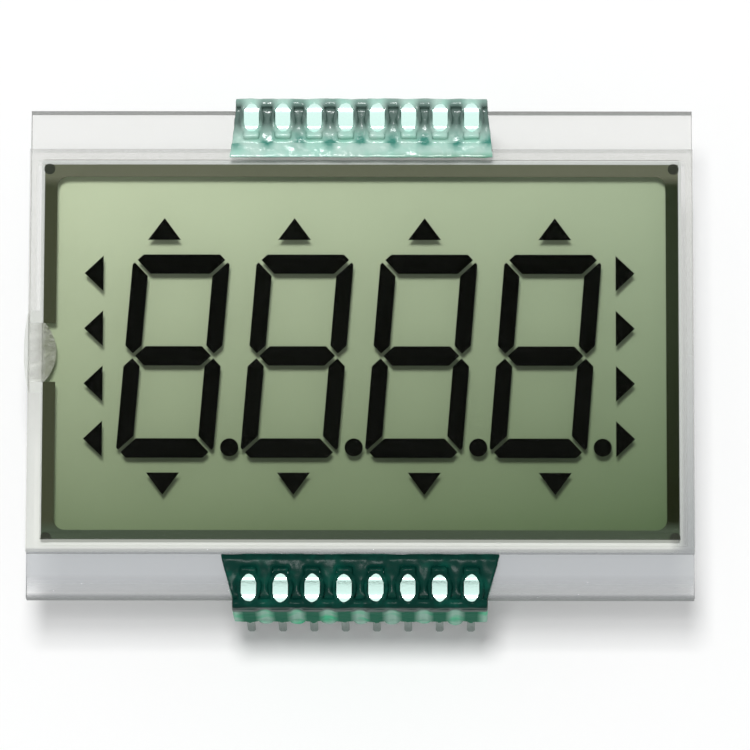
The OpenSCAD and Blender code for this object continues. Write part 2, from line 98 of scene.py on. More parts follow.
class Value:
    """A number that changes over a surface. Python's operators on it add Math nodes."""

    def __init__(self, graph: "Graph", socket: bpy.types.NodeSocket) -> None:
        """Wrap an output socket of the graph."""
        self.graph = graph
        self.socket = socket

    def _maths(self, operation: str, *terms: "Value | float", clamp: bool = False) -> "Value":
        """Add one Math node.

        Args:
            operation: The Math node's operation.
            terms: Its inputs, in order.
            clamp: Whether the result is held between 0 and 1.

        Returns:
            The node's result.
        """
        made = self.graph.node(
            "ShaderNodeMath", {"operation": operation, "use_clamp": clamp}, dict(enumerate(terms))
        )
        return Value(self.graph, made.outputs[0])

    def __add__(self, other: "Value | float") -> "Value":
        """Sum."""
        return self._maths("ADD", self, other)

    def __radd__(self, other: float) -> "Value":
        """Sum, with the number first."""
        return self._maths("ADD", other, self)

    def __sub__(self, other: "Value | float") -> "Value":
        """Difference."""
        return self._maths("SUBTRACT", self, other)

    def __rsub__(self, other: float) -> "Value":
        """Difference, with the number first."""
        return self._maths("SUBTRACT", other, self)

    def __mul__(self, other: "Value | float") -> "Value":
        """Product."""
        return self._maths("MULTIPLY", self, other)

    def __rmul__(self, other: float) -> "Value":
        """Product, with the number first."""
        return self._maths("MULTIPLY", other, self)

    def __truediv__(self, other: "Value | float") -> "Value":
        """Quotient."""
        return self._maths("DIVIDE", self, other)

    def __abs__(self) -> "Value":
        """Size without its sign."""
        return self._maths("ABSOLUTE", self)

    def at_most(self, other: "Value | float") -> "Value":
        """The smaller of the two."""
        return self._maths("MINIMUM", self, other)

    def held(self) -> "Value":
        """The number, held between 0 and 1."""
        return self._maths("ADD", self, 0.0, clamp=True)

    def between(self, origin: float, pitch: float) -> "Value":
        """How far the number is from a row of evenly spaced marks.

        Args:
            origin: Place of one mark.
            pitch: Distance between neighbouring marks.

        Returns:
            0 at each mark and 1 midway between two.
        """
        return self._maths("PINGPONG", self - origin, pitch / 2) / (pitch / 2)

    def hump(self, centre: float, reach: float) -> "Value":
        """A soft hump, 1 at its centre and 0 from its reach on."""
        return (1.0 - abs(self - centre) / reach).held()

    def rising(self, start: float, end: float) -> "Value":
        """How far the number has gone from start to end.

        Args:
            start: Where the result is 0.
            end: Where the result is 1.

        Returns:
            A share between 0 and 1.
        """
        return ((self - start) / (end - start)).held()


class Graph:
    """The node tree of one material or of the world."""

    def __init__(self, name: str, world: bool = False) -> None:
        """Make an empty node tree.

        Args:
            name: Name of the material or the world.
            world: Whether it is the world's tree.
        """
        self.owner = bpy.data.worlds.new(name) if world else bpy.data.materials.new(name)
        self.owner.use_nodes = True
        self.output = "ShaderNodeOutputWorld" if world else "ShaderNodeOutputMaterial"
        self.tree = self.owner.node_tree
        self.tree.nodes.clear()

    def node(
        self,
        kind: str,
        settings: Mapping[str, object] | None = None,
        inputs: Mapping[str | int, Link] | None = None,
    ) -> bpy.types.Node:
        """Add a node, set it up and feed its sockets.

        Args:
            kind: The node's type.
            settings: Its own settings. The setting named stops fills a colour ramp.
            inputs: What each input socket gets, by name or number: a number, a colour or a link.

        Returns:
            The node.
        """
        made = self.tree.nodes.new(kind)
        for key, setting in (settings or {}).items():
            if key == "stops":
                self._fill_ramp(made.color_ramp, setting)
            else:
                setattr(made, key, setting)
        for key, given in (inputs or {}).items():
            socket = made.inputs[key]
            source = given.socket if isinstance(given, Value) else given
            if isinstance(source, bpy.types.NodeSocket):
                self.tree.links.new(source, socket)
            elif isinstance(source, tuple) and socket.type == "RGBA":
                socket.default_value = (*source, 1.0)
            else:
                socket.default_value = source
        return made

    @staticmethod
    def _fill_ramp(ramp: bpy.types.ColorRamp, stops: Sequence[tuple[float, Colour]]) -> None:
        """Give a ramp its stops.

        Args:
            ramp: The ramp of a new node, which has two stops.
            stops: Places and colours, at least two.
        """
        for _ in stops[2:]:
            ramp.elements.new(0.5)
        for element, (place, colour) in zip(ramp.elements, stops):
            element.position = place
            element.color = (*colour, 1.0)

    def place(self) -> tuple[Value, Value, Value]:
        """Where a point lies in the object's own frame, in millimetres."""
        coordinates = self.node("ShaderNodeTexCoord").outputs["Object"]
        parts = self.node("ShaderNodeSeparateXYZ", inputs={0: coordinates}).outputs
        x, y, z = (Value(self, part) * (1 / MM) for part in parts)
        return x, y, z

    def facing(self) -> Value:
        """How much a face looks up or down.

        Returns:
            1 on level faces and 0 on upright ones.
        """
        normal = self.node("ShaderNodeNewGeometry").outputs["True Normal"]
        rise = Value(self, self.node("ShaderNodeSeparateXYZ", inputs={0: normal}).outputs[2])
        return abs(rise).rising(UPRIGHT, LEVEL)

    def grain(self, size: float, detail: float = 2.0, stretch: Triple = (1.0, 1.0, 1.0)) -> Value:
        """Smooth noise about 0.5.

        Args:
            size: Size of its features, in millimetres.
            detail: Octaves of finer noise.
            stretch: How much finer the noise is along each axis.

        Returns:
            The noise.
        """
        coordinates = self.node("ShaderNodeTexCoord").outputs["Object"]
        scaled = self.node(
            "ShaderNodeVectorMath", {"operation": "MULTIPLY"}, {0: coordinates, 1: stretch}
        ).outputs[0]
        made = self.node(
            "ShaderNodeTexNoise", inputs={"Vector": scaled, "Scale": 1 / (size * MM), "Detail": detail}
        )
        return Value(self, made.outputs[0])

    def blend(self, first: Link, second: Link, share: Value | float) -> bpy.types.NodeSocket:
        """Mix two colours.

        Args:
            first: The colour at a share of 0.
            second: The colour at a share of 1.
            share: How much of the second is taken.

        Returns:
            The mixed colour.
        """
        mix = self.node("ShaderNodeMix", {"data_type": "RGBA"}, {0: share, 6: first, 7: second})
        return mix.outputs[2]

    def shaded(self, colour: Link, level: Value) -> bpy.types.NodeSocket:
        """Scale a colour by a level that changes over the surface."""
        vector = self.node("ShaderNodeCombineXYZ", inputs={0: level, 1: level, 2: level}).outputs[0]
        return self.node(
            "ShaderNodeVectorMath", {"operation": "MULTIPLY"}, {0: colour, 1: vector}
        ).outputs[0]

    def bump(self, height: Value, depth: float) -> bpy.types.NodeSocket:
        """A bumped normal.

        Args:
            height: Height over the surface, from 0 to 1.
            depth: How deep the relief is, in millimetres.

        Returns:
            The normal.
        """
        return self.node("ShaderNodeBump", inputs={"Height": height, "Distance": depth * MM}).outputs[0]

    def principled(self, inputs: Mapping[str, Link]) -> bpy.types.NodeSocket:
        """A Principled shader with the given sockets."""
        return self.node("ShaderNodeBsdfPrincipled", inputs=inputs).outputs[0]

    def layered(
        self, under: bpy.types.NodeSocket, over: bpy.types.NodeSocket, share: Value | float
    ) -> bpy.types.NodeSocket:
        """Mix two shaders.

        Args:
            under: The shader at a share of 0.
            over: The shader at a share of 1.
            share: How much of the second is taken.

        Returns:
            The mixed shader.
        """
        return self.node("ShaderNodeMixShader", inputs={0: share, 1: under, 2: over}).outputs[0]

    def clear(self) -> bpy.types.NodeSocket:
        """A shader that lets everything through."""
        return self.node("ShaderNodeBsdfTransparent").outputs[0]

    def mirror(self, roughness: Value | float) -> bpy.types.NodeSocket:
        """A shader that mirrors all light."""
        return self.principled({"Base Color": WHITE, "Metallic": 1.0, "Roughness": roughness})

    def veil(self, colour: Link, cover: Value, roughness: float = 0.3) -> bpy.types.NodeSocket:
        """A clear layer with a share of its own colour.

        Args:
            colour: Its colour.
            cover: How much of the colour shows.
            roughness: Roughness of the colour.

        Returns:
            The shader.
        """
        body = self.principled({"Base Color": colour, "Roughness": roughness, "Specular IOR Level": 0.1})
        return self.layered(self.clear(), body, cover)

    def sheen(self, index: float, head_on: float) -> Value:
        """What a clear surface mirrors, less a share that an even coat takes away.

        Args:
            index: Refractive index.
            head_on: Share that is taken away.

        Returns:
            The mirrored share.
        """
        made = self.node("ShaderNodeFresnel", inputs={"IOR": index})
        return (Value(self, made.outputs[0]) - head_on).held()

    def done(self, shader: bpy.types.NodeSocket) -> bpy.types.ID:
        """Show a shader, and return the material or the world."""
        self.node(self.output, inputs={"Surface": shader})
        return self.owner


def inside(x: Value, y: Value, half: tuple[float, float], soft: float = 0.02) -> Value:
    """A mask that is 1 inside an upright rectangle about the origin.

    Args:
        x: Place along the rectangle's width, in millimetres.
        y: Place along its height.
        half: Half its width and half its height.
        soft: Width of the mask's edge.

    Returns:
        The mask.
    """
    across = abs(x).rising(half[0] + soft, half[0] - soft)
    along = abs(y).rising(half[1] + soft, half[1] - soft)
    return across.at_most(along)


def pass_light(nodes: Iterable[str], shade: bool = False) -> None:
    """Keep clear pieces out of the light's way to what lies behind them.

    Args:
        nodes: Names of the nodes.
        shade: Whether they still cast their faint shadow.
    """
    for name in nodes:
        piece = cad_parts[name]
        piece.visible_shadow = shade
        piece.visible_diffuse = False


def half_size(node: str) -> tuple[float, float]:
    """Half the width and half the height of a node, in millimetres."""
    low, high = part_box(node)
    return (high.x - low.x) / 2 / MM, (high.y - low.y) / 2 / MM


@dataclass(frozen=True)
class FieldFinish:
    """Rear polarizer with the reflector under it: a pale ground with painted light at the upper left that
    falls off to painted shade at the lower right.
    """

    upper_left: Colour = srgb(199, 211, 177)
    upper_right: Colour = srgb(164, 179, 148)
    lower_left: Colour = srgb(112, 128, 95)
    lower_right: Colour = srgb(82, 102, 68)
    grain_size: float = 0.16
    grain_depth: float = 0.07
    cloud_size: float = 5.0
    cloud_depth: float = 0.05

    def material(self, half: tuple[float, float]) -> bpy.types.Material:
        """Build it.

        Args:
            half: Half the width and half the height of the film, in millimetres.

        Returns:
            The material.
        """
        g = Graph("rear_polarizing_film")
        x, y, _ = g.place()
        right = x.rising(-half[0], half[0])
        up = y.rising(-half[1], half[1])
        # Painted light and shade: the ground is brightest at the upper left and darkest at the lower right.
        upper = g.blend(self.upper_left, self.upper_right, right)
        lower = g.blend(self.lower_left, self.lower_right, right)
        painted_light_ground = g.blend(lower, upper, up)
        fine = (g.grain(self.grain_size, 3.0) - 0.5) * self.grain_depth
        clouds = (g.grain(self.cloud_size, 1.0) - 0.5) * self.cloud_depth
        colour = g.shaded(painted_light_ground, 1.0 + fine + clouds)
        return g.done(g.principled({"Base Color": colour, "Roughness": 0.55, "Specular IOR Level": 0.0}))


@dataclass(frozen=True)
class FoilFinish:
    """Reflector foil: rolled aluminium with a fine lengthwise grain, lacquered behind."""

    tone: Colour = srgb(188, 192, 190)
    dull: Colour = srgb(150, 156, 152)
    line_size: float = 0.5
    line_stretch: Triple = (0.06, 1.6, 1.0)

    def material(self) -> bpy.types.Material:
        """Build it.

        Returns:
            The material.
        """
        g = Graph("reflector_foil")
        lines = g.grain(self.line_size, 4.0, self.line_stretch)
        colour = g.blend(self.dull, self.tone, lines.rising(0.3, 0.7))
        rough = 0.34 + (lines - 0.5) * 0.2
        return g.done(
            g.principled(
                {"Base Color": colour, "Metallic": 0.85, "Roughness": rough, "Normal": g.bump(lines, 0.01)}
            )
        )


@dataclass(frozen=True)
class PlateGlass:
    """Cut soda-lime plate: clear on its faces and grey where one looks into a cut edge. Its faces carry
    painted light and shade: a tone towards the lower edge, painted shade on the rear plate and a painted
    light strip on the front one, painted shade at the lower right corner and a dark painted line along the
    lower edge.
    """

    name: str
    bonded: tuple[float, float]
    half_h: float
    edge_cover: float
    face_tone: Colour = srgb(212, 212, 205)
    painted_low_tone: Colour = srgb(195, 198, 201)
    right_low_shade: Colour = srgb(140, 144, 142)
    edge_tone: Colour = srgb(120, 125, 124)
    rim_shade_tone: Colour = srgb(112, 116, 116)
    bonded_tone: Colour = srgb(20, 24, 18)
    face_cover: float = 0.2
    low_cover: float = 0.42
    low_from: float = 10.0
    low_at: float = -12.0
    corner_from: float = 19.4
    corner_at: float = 20.4
    rim_cover: float = 0.62
    rim_w: float = 0.34
    clear_from: float = -14.2
    clear_at: float = -15.4
    clear_cover: float = 0.04
    bonded_cover: float = 0.004
    streak_size: float = 0.5
    streak_stretch: Triple = (0.2, 1.0, 3.0)
    polish: float = 0.03
    head_on: float = 0.02
    index: float = 1.52

    def material(self) -> bpy.types.Material:
        """Build it.

        Returns:
            The material.
        """
        g = Graph(self.name)
        x, y, _ = g.place()
        level = g.facing()
        joined = inside(x, y, self.bonded) * level
        # Painted light and shade: the faces change tone towards the lower edge, darker on the rear plate and
        # lighter on the front one, with painted shade at the lower right corner.
        low = y.rising(self.low_from, self.low_at)
        streak = g.grain(self.streak_size, 3.0, self.streak_stretch)
        edge = g.blend(self.edge_tone, self.face_tone, streak.rising(0.6, 1.2))
        foot_y = -self.half_h
        # Painted shade: a dark line along the lower edge, which stands for the cut edge seen through the
        # plate and the shadow under it.
        rim = y.rising(foot_y + self.rim_w, foot_y + self.rim_w / 3)
        corner = low * x.rising(self.corner_from, self.corner_at)
        painted_face_tone = g.blend(g.blend(self.face_tone, self.painted_low_tone, low), self.right_low_shade, corner)
        free_tone = g.blend(painted_face_tone, self.rim_shade_tone, rim)
        face = g.blend(free_tone, self.bonded_tone, joined)
        colour = g.blend(edge, face, level)
        plain_cover = self.face_cover + low * (self.low_cover - self.face_cover)
        clearing = y.rising(self.clear_from, self.clear_at)
        strip_cover = plain_cover + clearing * (self.clear_cover - plain_cover)
        free_cover = strip_cover + rim * (self.rim_cover - strip_cover)
        flat_cover = free_cover + joined * (self.bonded_cover - free_cover)
        cover = self.edge_cover + level * (flat_cover - self.edge_cover)
        shine = g.sheen(self.index, self.head_on) * level * (1.0 - joined)
        return g.done(g.layered(g.veil(colour, cover), g.mirror(self.polish), shine))


@dataclass(frozen=True)
class FrontFilm:
    """Front polarizer: a neutral film with an anti-glare face and cut edges that look dark."""

    tone: Colour = srgb(60, 66, 52)
    edge_tone: Colour = srgb(96, 100, 84)
    cover: float = 0.008
    edge_cover: float = 0.5
    roughness: float = 0.4
    haze_size: float = 0.8
    head_on: float = 0.0375
    index: float = 1.49

    def material(self) -> bpy.types.Material:
        """Build it.

        Returns:
            The material.
        """
        g = Graph("front_polarizing_film")
        level = g.facing()
        cover = self.edge_cover + level * (self.cover - self.edge_cover)
        colour = g.blend(self.edge_tone, self.tone, level)
        film = g.veil(colour, cover, self.roughness)
        haze = 0.03 + 0.04 * g.grain(self.haze_size, 2.0)
        return g.done(g.layered(film, g.mirror(haze), g.sheen(self.index, self.head_on) * level))


@dataclass(frozen=True)
class SealLine:
    """Printed epoxy seal: dark where the crossed polarizers cover it and milky outside them. Its dark part
    has painted light and shade: lighter on the upper side, darker on the right and darkest at the lower
    right.
    """

    upper: Colour = srgb(101, 104, 85)
    left: Colour = srgb(61, 65, 46)
    right: Colour = srgb(38, 47, 29)
    right_low_shade: Colour = srgb(20, 25, 5)
    lower: Colour = srgb(67, 78, 62)
    milky: Colour = srgb(196, 200, 196)
    right_low_y: float = -9.0
    right_y: float = 3.0
    run_from: float = 1.4
    run_at: float = 0.8
    upper_share: float = 0.9
    speck_size: float = 0.08
    speck_depth: float = 0.25

    def material(self, film_half: tuple[float, float]) -> bpy.types.Material:
        """Build it.

        Args:
            film_half: Half the width and half the height of the polarizers, in millimetres.

        Returns:
            The material.
        """
        g = Graph("cell_seal")
        x, y, _ = g.place()
        top = film_half[1]
        # Painted light and shade: the seal's tone changes by side, lighter above and darker to the right and
        # lower right.
        right = g.blend(self.right_low_shade, self.right, y.rising(self.right_low_y, self.right_y))
        sides = g.blend(self.left, right, x.rising(-film_half[0], film_half[0]))
        shaded_sides = g.blend(sides, self.lower, y.rising(self.run_from - top, self.run_at - top))
        above = y.rising(top - self.run_from, top - self.run_at) * self.upper_share
        dark = g.blend(shaded_sides, self.upper, above)
        speck = (g.grain(self.speck_size, 2.0) - 0.5) * self.speck_depth
        covered = inside(x, y, film_half)
        colour = g.shaded(g.blend(self.milky, dark, covered), 1.0 + speck)
        return g.done(g.principled({"Base Color": colour, "Roughness": 0.6, "Specular IOR Level": 0.04}))


@dataclass(frozen=True)
class PlugResin:
    """End seal: light-cured resin, cloudy grey, smooth on its bead."""

    pale: Colour = srgb(242, 244, 238)
    deep: Colour = srgb(142, 148, 124)
    inner_x: float = -19.9
    outer_x: float = -20.7
    cloud_size: float = 0.7
    wave_size: float = 0.35
    wave_depth: float = 0.03

    def material(self) -> bpy.types.Material:
        """Build it.

        Returns:
            The material.
        """
        g = Graph("port_plug")
        x, _, _ = g.place()
        cloud = g.grain(self.cloud_size, 3.0)
        outside = x.rising(self.inner_x, self.outer_x)
        colour = g.blend(self.deep, self.pale, (outside + (cloud - 0.5) * 0.5).held())
        wave = g.bump(g.grain(self.wave_size, 2.0), self.wave_depth)
        return g.done(
            g.principled({"Base Color": colour, "Roughness": 0.28 + cloud * 0.15, "Normal": wave})
        )


@dataclass(frozen=True)
class ClearFilm:
    """A film or filling that is nearly invisible: liquid crystal or clear conducting film."""

    name: str
    tone: Colour
    cover: float
    edge_cover: float
    spot_size: float = 0.3

    def material(self) -> bpy.types.Material:
        """Build it.

        Returns:
            The material.
        """
        g = Graph(self.name)
        level = g.facing()
        cover = self.edge_cover + level * (self.cover - self.edge_cover)
        colour = g.shaded(self.tone, 0.8 + 0.4 * g.grain(self.spot_size, 1.0))
        return g.done(g.veil(colour, cover))


@dataclass(frozen=True)
class DarkSegment:
    """A switched segment: near black, with faint patches of green haze."""

    core: Colour = srgb(2, 3, 2)
    haze: Colour = srgb(8, 12, 7)
    haze_size: float = 0.25

    def material(self) -> bpy.types.Material:
        """Build it.

        Returns:
            The material.
        """
        g = Graph("dark_segment")
        colour = g.blend(self.core, self.haze, g.grain(self.haze_size, 2.0).rising(0.4, 0.75))
        return g.done(g.principled({"Base Color": colour, "Roughness": 0.6, "Specular IOR Level": 0.0}))


@dataclass(frozen=True)
class SilverPaste:
    """Conducting dots of silver-filled paste, seen dull and dark through the front polarizer."""

    dark: Colour = srgb(38, 42, 32)
    flake: Colour = srgb(56, 60, 50)
    flake_size: float = 0.06

    def material(self) -> bpy.types.Material:
        """Build it.

        Returns:
            The material.
        """
        g = Graph("silver_dot")
        flakes = g.grain(self.flake_size, 2.0).rising(0.45, 0.6)
        colour = g.blend(self.dark, self.flake, flakes)
        return g.done(
            g.principled(
                {"Base Color": colour, "Metallic": flakes * 0.1, "Roughness": 0.6, "Specular IOR Level": 0.1}
            )
        )


@dataclass(frozen=True)
class TinnedStrip:
    """Bright tin on stamped bronze strip, with a mint cast on the tongues and the legs painted darker and
    greener, as painted shade under the glue.
    """

    bright: Colour = srgb(238, 241, 238)
    worn: Colour = srgb(196, 200, 196)
    mint: Colour = srgb(222, 252, 242)
    leg: Colour = srgb(128, 148, 140)
    drawn_size: float = 0.16
    drawn_stretch: Triple = (1.0, 1.0, 0.12)
    patch_size: float = 0.6
    leg_shade_below: float = 5.0
    tin_below: float = 0.6
    mint_half: float = 0.3

    def material(self, ledge_z: float) -> bpy.types.Material:
        """Build it.

        Args:
            ledge_z: Height of the ledge, in millimetres.

        Returns:
            The material.
        """
        g = Graph("tinned_pin")
        _, _, z = g.place()
        lines = g.grain(self.drawn_size, 3.0, self.drawn_stretch)
        patches = g.grain(self.patch_size, 2.0)
        tin = g.blend(self.bright, self.worn, patches.rising(0.45, 0.8))
        # Painted shade: the legs below the glue are darker and greener than the tin above.
        low = g.blend(self.leg, tin, z.rising(ledge_z - self.leg_shade_below, ledge_z - self.tin_below))
        colour = g.blend(low, self.mint, z.rising(ledge_z - self.mint_half, ledge_z + self.mint_half))
        rough = 0.16 + lines * 0.16
        return g.done(
            g.principled(
                {"Base Color": colour, "Metallic": 1.0, "Roughness": rough, "Normal": g.bump(lines, 0.008)}
            )
        )


@dataclass(frozen=True)
class PinLine:
    """Where a row of pins stands, in millimetres."""

    first_x: float
    pitch: float
    edge_y: float
    outward: float
    ledge_z: float
    back_z: float

    @classmethod
    def of(cls, pins: Sequence[str]) -> "PinLine":
        """Read it from the frame.

        Args:
            pins: Names of the row's pins.

        Returns:
            The row's places.
        """
        middles = sorted((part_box(name)[0].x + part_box(name)[1].x) / 2 / MM for name in pins)
        low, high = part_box("rear_glass")
        outward = 1.0 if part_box(pins[0])[0].y > 0 else -1.0
        edge_y = (high.y if outward > 0 else low.y) / MM
        return cls(middles[0], middles[1] - middles[0], edge_y, outward, high.z / MM, low.z / MM)

    def xs(self, count: int) -> list[float]:
        """Middles of the pins, from left to right."""
        return [self.first_x + k * self.pitch for k in range(count)]


@dataclass(frozen=True)
class DeepGlue:
    """Lower glue: deep teal on the ledge, with webs that hang between the legs, painted pale green between
    them as painted light shining through the thin glue, and dark green over the legs.
    """

    deep: Colour = srgb(5, 50, 42)
    lit: Colour = srgb(12, 80, 66)
    leg: Colour = srgb(14, 102, 76)
    web_backlight: Colour = srgb(158, 200, 182)
    web_lit: Colour = srgb(84, 200, 152)
    gloss: float = 0.05
    hang_from: float = 0.7
    hang_at: float = 0.1
    web_from: float = 0.35
    web_at: float = 0.8
    cloud_size: float = 1.1
    web_size: float = 1.6
    wave_size: float = 0.5
    wave_depth: float = 0.02

    def material(self, line: PinLine) -> bpy.types.Material:
        """Build it.

        Args:
            line: Where the pins stand.

        Returns:
            The material.
        """
        g = Graph("deep_glue")
        x, _, z = g.place()
        gap = x.between(line.first_x, line.pitch)
        below = z.rising(line.back_z + self.hang_from, line.back_z + self.hang_at)
        cloud = g.grain(self.cloud_size, 3.0)
        mass = g.blend(self.deep, self.lit, cloud.rising(0.48, 0.85))
        # Painted light: the webs between the legs are painted pale green for light shining through the thin
        # glue; over the legs the glue stays dark green.
        web_backlight = g.blend(self.web_backlight, self.web_lit, g.grain(self.web_size, 1.0).rising(0.45, 0.7))
        hanging = g.blend(self.leg, web_backlight, gap.rising(self.web_from, self.web_at))
        colour = g.blend(mass, hanging, below)
        wave = g.bump(g.grain(self.wave_size, 2.0), self.wave_depth)
        return g.done(
            g.principled(
                {
                    "Base Color": colour,
                    "Roughness": 0.24 + cloud * 0.12 + below * 0.3,
                    "Specular IOR Level": 0.03,
                    "Coat Weight": (1.0 - below) * self.gloss,
                    "Coat Roughness": 0.2,
                    "Normal": wave,
                }
            )
        )


@dataclass(frozen=True)
class PaintedSheenGlue:
    """Upper glue: painted pale mint over the crowns, a painted reflection of the light on its slopes, with
    painted shade in the dips between the pins.
    """

    # Painted reflection: the pale and mint tones stand for light mirrored off the glue's slopes.
    pale: Colour = srgb(178, 210, 198)
    mint: Colour = srgb(150, 206, 188)
    teal: Colour = srgb(44, 128, 112)
    dip_shade: Colour = srgb(82, 106, 98)
    foot: Colour = srgb(84, 150, 118)
    dip_place: float = -0.35
    dip_reach: float = 1.5
    dip_strength: float = 1.5
    spot_place: float = -2.1
    spot_reach: float = 0.9
    spot_strength: float = 1.6
    foot_from: float = -2.9
    foot_at: float = -3.3
    foot_left: float = -4.0
    foot_right: float = 6.0
    foot_share: float = 0.8
    cloud_size: float = 1.4
    wave_size: float = 0.35
    wave_depth: float = 0.03

    def material(self, line: PinLine) -> bpy.types.Material:
        """Build it.

        Args:
            line: Where the pins stand.

        Returns:
            The material.
        """
        g = Graph("glue_painted_sheen")
        x, y, z = g.place()
        out = (y - line.edge_y) * line.outward
        gap = x.between(line.first_x, line.pitch)
        cloud = g.grain(self.cloud_size, 3.0)
        mass = g.blend(self.pale, self.mint, cloud.rising(0.4, 0.75))
        spots = gap.rising(0.4, 0.9) * out.hump(self.spot_place, self.spot_reach) * cloud.rising(0.3, 0.55)
        spotted = g.blend(mass, self.teal, (spots * self.spot_strength).held())
        # Painted shade in the dips between the crowns, at the glass edge.
        shaded_dips = gap.rising(0.25, 0.7) * out.hump(self.dip_place, self.dip_reach)
        dip_shaded = g.blend(spotted, self.dip_shade, (shaded_dips * self.dip_strength).held())
        foot = out.rising(self.foot_from, self.foot_at) * x.rising(self.foot_left, self.foot_right)
        colour = g.blend(dip_shaded, self.foot, foot * self.foot_share)
        wave = g.bump(g.grain(self.wave_size, 2.0), self.wave_depth)
        return g.done(
            g.principled(
                {
                    "Base Color": colour,
                    "Roughness": 0.14 + cloud * 0.14,
                    "Specular IOR Level": 0.5,
                    "Normal": wave,
                }
            )
        )


class GlueMesh:
    """Builds a glue piece: the CAD glue with beads laid on it, melted together and waved."""

    def __init__(self, node: str) -> None:
        """Start from a CAD glue node.

        Args:
            node: Name of the node.
        """
        self.node = node
        self.shape = bmesh.new()
        self.shape.from_mesh(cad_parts[node].data)

    def bead(
        self,
        path: Sequence[Vector],
        radii: Sequence[float],
        closed: bool = False,
        stretch: Triple = (1.0, 1.0, 1.0),
        sides: int = 10,
    ) -> None:
        """Lay a bead along a path.

        Args:
            path: Points along its middle, in metres.
            radii: Its radius at each point, in metres.
            closed: Whether its end meets its start.
            stretch: How much wider it is along each axis.
            sides: Facets round it.
        """
        widen = Vector(stretch)
        count = len(path)
        rings = []
        for k, (point, radius) in enumerate(zip(path, radii)):
            before = path[k - 1] if closed or k else path[0]
            after = path[(k + 1) % count] if closed or k < count - 1 else path[-1]
            along = (after - before).normalized()
            upright = abs(along.z) > 0.9
            side = along.cross(Vector((0.0, 1.0, 0.0) if upright else (0.0, 0.0, 1.0))).normalized()
            up = side.cross(along)
            ring = []
            for step in range(sides):
                angle = math.tau * step / sides
                offset = (side * math.cos(angle) + up * math.sin(angle)) * widen
                ring.append(self.shape.verts.new(point + offset * radius))
            rings.append(ring)
        links = count if closed else count - 1
        for k in range(links):
            first, second = rings[k], rings[(k + 1) % count]
            for step in range(sides):
                turn = (step + 1) % sides
                self.shape.faces.new((first[step], first[turn], second[turn], second[step]))
        if not closed:
            self.shape.faces.new(rings[0][::-1])
            self.shape.faces.new(rings[-1])

    def melt(self, name: str, voxel: float, rounds: int) -> bpy.types.Object:
        """Join everything into one soft mesh.

        Args:
            name: Name of the piece.
            voxel: Size of the mesh's cells, in millimetres.
            rounds: Rounds of smoothing.

        Returns:
            The piece.
        """
        bmesh.ops.recalc_face_normals(self.shape, faces=self.shape.faces)
        rough = bpy.data.meshes.new(name + "_rough")
        self.shape.to_mesh(rough)
        self.shape.free()
        piece = bpy.data.objects.new(name, rough)
        bpy.context.scene.collection.objects.link(piece)
        remesh = piece.modifiers.new("melt", "REMESH")
        remesh.mode = "VOXEL"
        remesh.voxel_size = voxel * MM
        smooth = piece.modifiers.new("settle", "SMOOTH")
        smooth.factor = 0.5
        smooth.iterations = rounds
        settled = piece.evaluated_get(bpy.context.evaluated_depsgraph_get())
        piece.data = bpy.data.meshes.new_from_object(settled)
        piece.modifiers.clear()
        bpy.data.meshes.remove(rough)
        return piece

    def wave(self, piece: bpy.types.Object, waves: Sequence[tuple[float, float]]) -> None:
        """Push the surface in and out a little, and keep it inside the CAD node's box.

        Args:
            piece: The glue piece.
            waves: Size and height of each wave, in millimetres.
        """
        low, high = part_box(self.node)
        low.z, high.z = CAD_BOX[0][2], CAD_BOX[1][2]
        normals = [vertex.normal.copy() for vertex in piece.data.vertices]
        for vertex, normal in zip(piece.data.vertices, normals):
            place = vertex.co.copy()
            for size, height in waves:
                place += normal * noise.noise(vertex.co / (size * MM)) * height * MM
            vertex.co = [min(max(place[axis], low[axis]), high[axis]) for axis in range(3)]
        for face in piece.data.polygons:
            face.use_smooth = True


